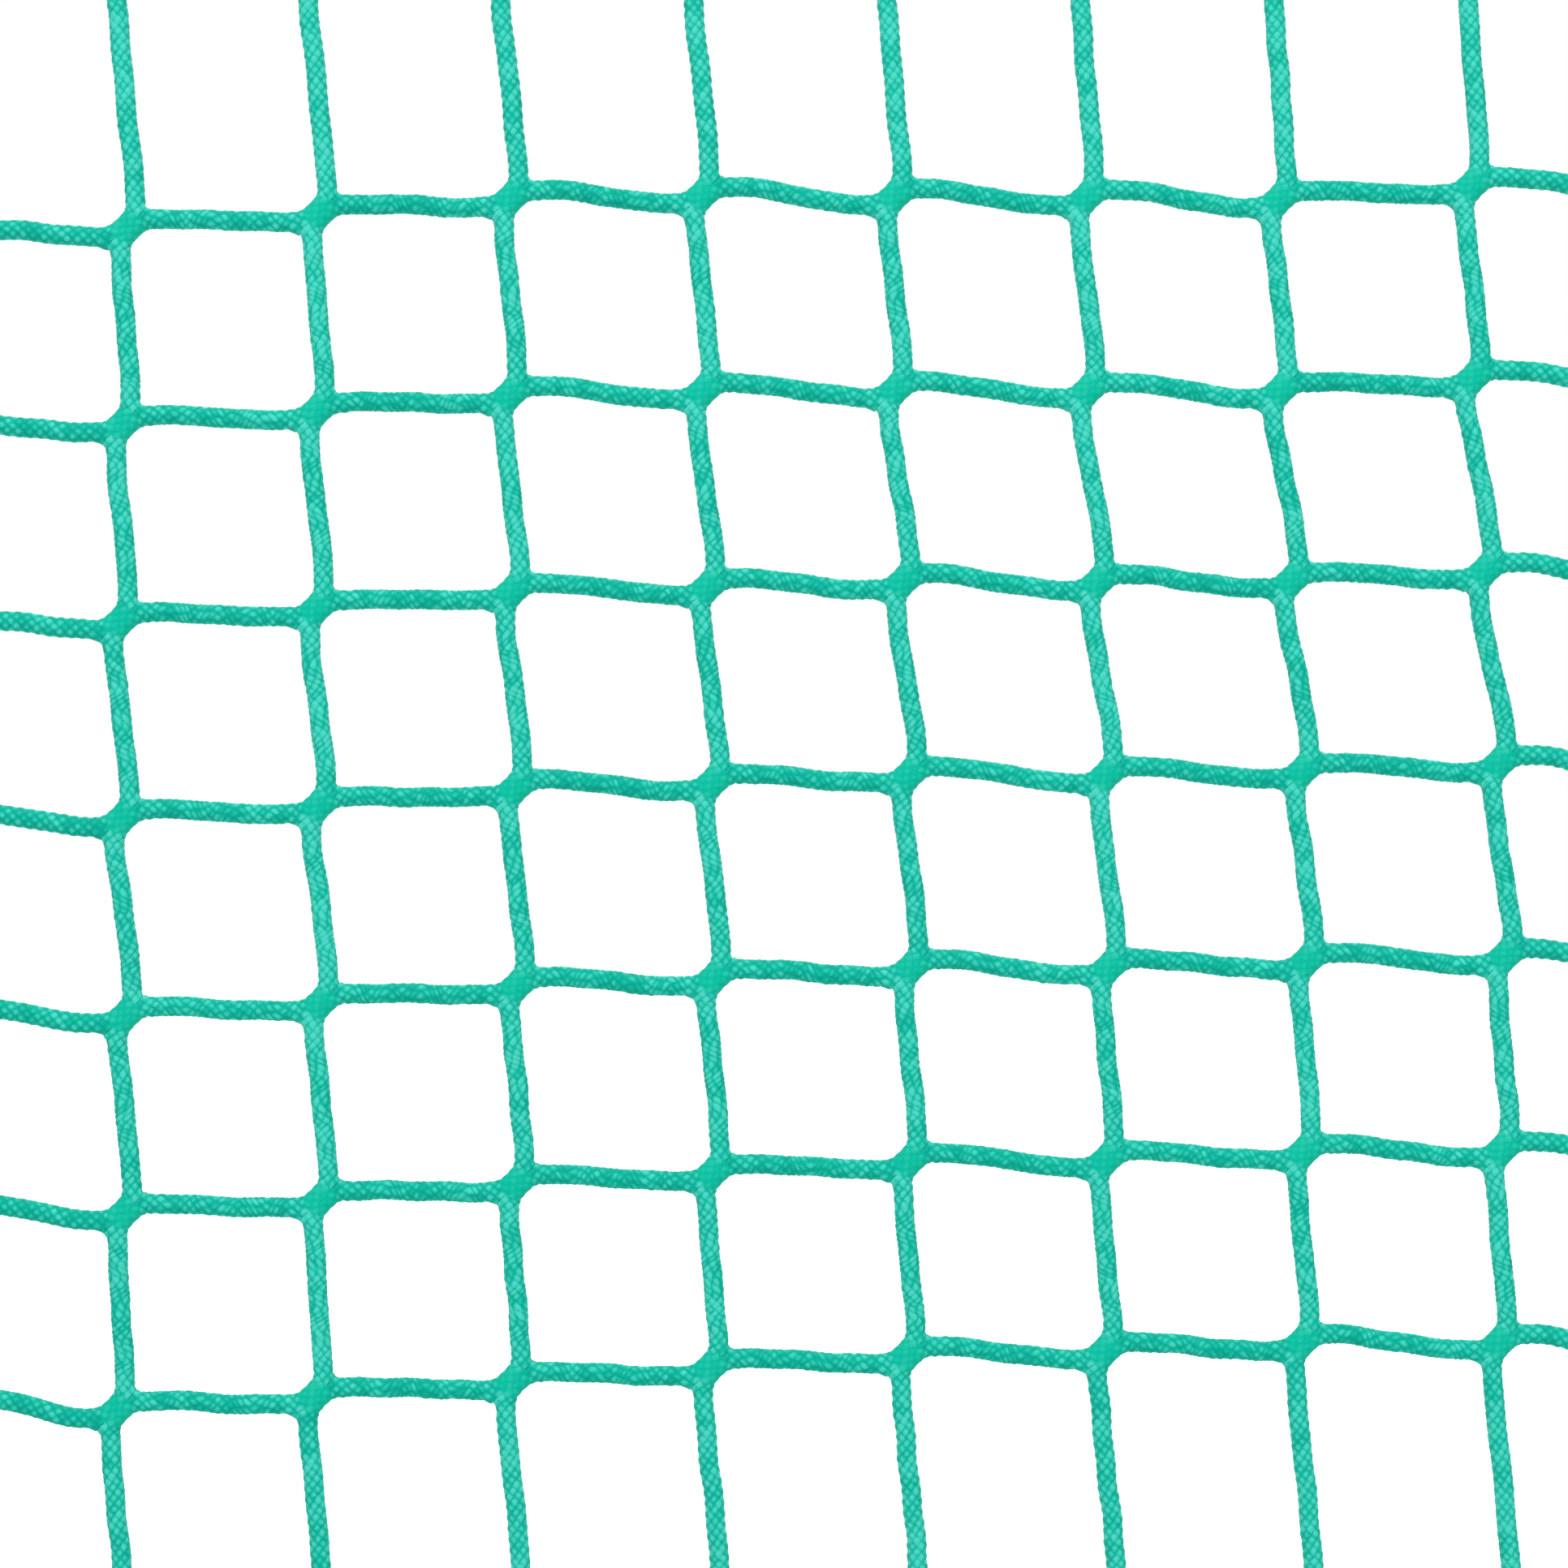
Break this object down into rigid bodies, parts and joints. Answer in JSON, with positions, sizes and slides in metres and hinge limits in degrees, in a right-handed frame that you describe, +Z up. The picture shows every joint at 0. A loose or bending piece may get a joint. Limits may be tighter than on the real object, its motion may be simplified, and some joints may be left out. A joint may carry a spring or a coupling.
{
  "type": "cargo climbing net",
  "caption": "Square-mesh knotless climbing net panel of braided cord in a rope border, with a steel thimble eye at each corner.",
  "frame": {"origin": "centre of the whole panel", "axes": "+X to the right along the rows, +Y through the net away from the viewer, +Z up along the columns"},
  "size_m": [0.512, 0.0182, 0.494],
  "materials": {
    "net_cord": "braided polypropylene cord, soft sheen",
    "border_rope": "twisted three-strand rope",
    "twine": "waxed whipping twine",
    "thimble": "satin stainless steel"
  },
  "bodies": {
    "top_border": {"top_border_rope": "border_rope", "top_cord_ends": "net_cord", "top_whippings": "twine", "top_left_thimble": "thimble", "top_right_thimble": "thimble", "top_left_seizing": "twine", "top_right_seizing": "twine"},
    "row_1": {"row_1_odd_strands": "net_cord", "row_1_even_strands": "net_cord", "row_1_left_rope": "border_rope", "row_1_right_rope": "border_rope", "row_1_whippings": "twine"},
    "row_2": {"row_2_odd_strands": "net_cord", "row_2_even_strands": "net_cord", "row_2_left_rope": "border_rope", "row_2_right_rope": "border_rope", "row_2_whippings": "twine"},
    "row_3": {"row_3_odd_strands": "net_cord", "row_3_even_strands": "net_cord", "row_3_left_rope": "border_rope", "row_3_right_rope": "border_rope", "row_3_whippings": "twine"},
    "row_4": {"row_4_odd_strands": "net_cord", "row_4_even_strands": "net_cord", "row_4_left_rope": "border_rope", "row_4_right_rope": "border_rope", "row_4_whippings": "twine"},
    "row_5": {"row_5_odd_strands": "net_cord", "row_5_even_strands": "net_cord", "row_5_left_rope": "border_rope", "row_5_right_rope": "border_rope", "row_5_whippings": "twine"},
    "row_6": {"row_6_odd_strands": "net_cord", "row_6_even_strands": "net_cord", "row_6_left_rope": "border_rope", "row_6_right_rope": "border_rope", "row_6_whippings": "twine"},
    "row_7": {"row_7_odd_strands": "net_cord", "row_7_even_strands": "net_cord", "row_7_left_rope": "border_rope", "row_7_right_rope": "border_rope", "row_7_whippings": "twine"},
    "bottom_border": {"bottom_border_rope": "border_rope", "bottom_cord_ends": "net_cord", "bottom_whippings": "twine", "bottom_left_thimble": "thimble", "bottom_right_thimble": "thimble", "bottom_left_seizing": "twine", "bottom_right_seizing": "twine"}
  },
  "joints": [
    {"name": "fold_1", "type": "hinge", "parent": "top_border", "child": "row_1", "pos_m": [0, 0, 0.183], "axis": [1, 0, 0], "range_deg": [-90, 90]},
    {"name": "fold_2", "type": "hinge", "parent": "row_1", "child": "row_2", "pos_m": [0, 0, 0.125], "axis": [-1, 0, 0], "range_deg": [-90, 90]},
    {"name": "fold_3", "type": "hinge", "parent": "row_2", "child": "row_3", "pos_m": [0, 0, 0.075], "axis": [1, 0, 0], "range_deg": [-90, 90]},
    {"name": "fold_4", "type": "hinge", "parent": "row_3", "child": "row_4", "pos_m": [0, 0, 0.025], "axis": [-1, 0, 0], "range_deg": [-90, 90]},
    {"name": "fold_5", "type": "hinge", "parent": "row_4", "child": "row_5", "pos_m": [0, 0, -0.025], "axis": [1, 0, 0], "range_deg": [-90, 90]},
    {"name": "fold_6", "type": "hinge", "parent": "row_5", "child": "row_6", "pos_m": [0, 0, -0.075], "axis": [-1, 0, 0], "range_deg": [-90, 90]},
    {"name": "fold_7", "type": "hinge", "parent": "row_6", "child": "row_7", "pos_m": [0, 0, -0.125], "axis": [1, 0, 0], "range_deg": [-90, 90]},
    {"name": "fold_8", "type": "hinge", "parent": "row_7", "child": "bottom_border", "pos_m": [0, 0, -0.183], "axis": [-1, 0, 0], "range_deg": [-90, 90]}
  ]
}
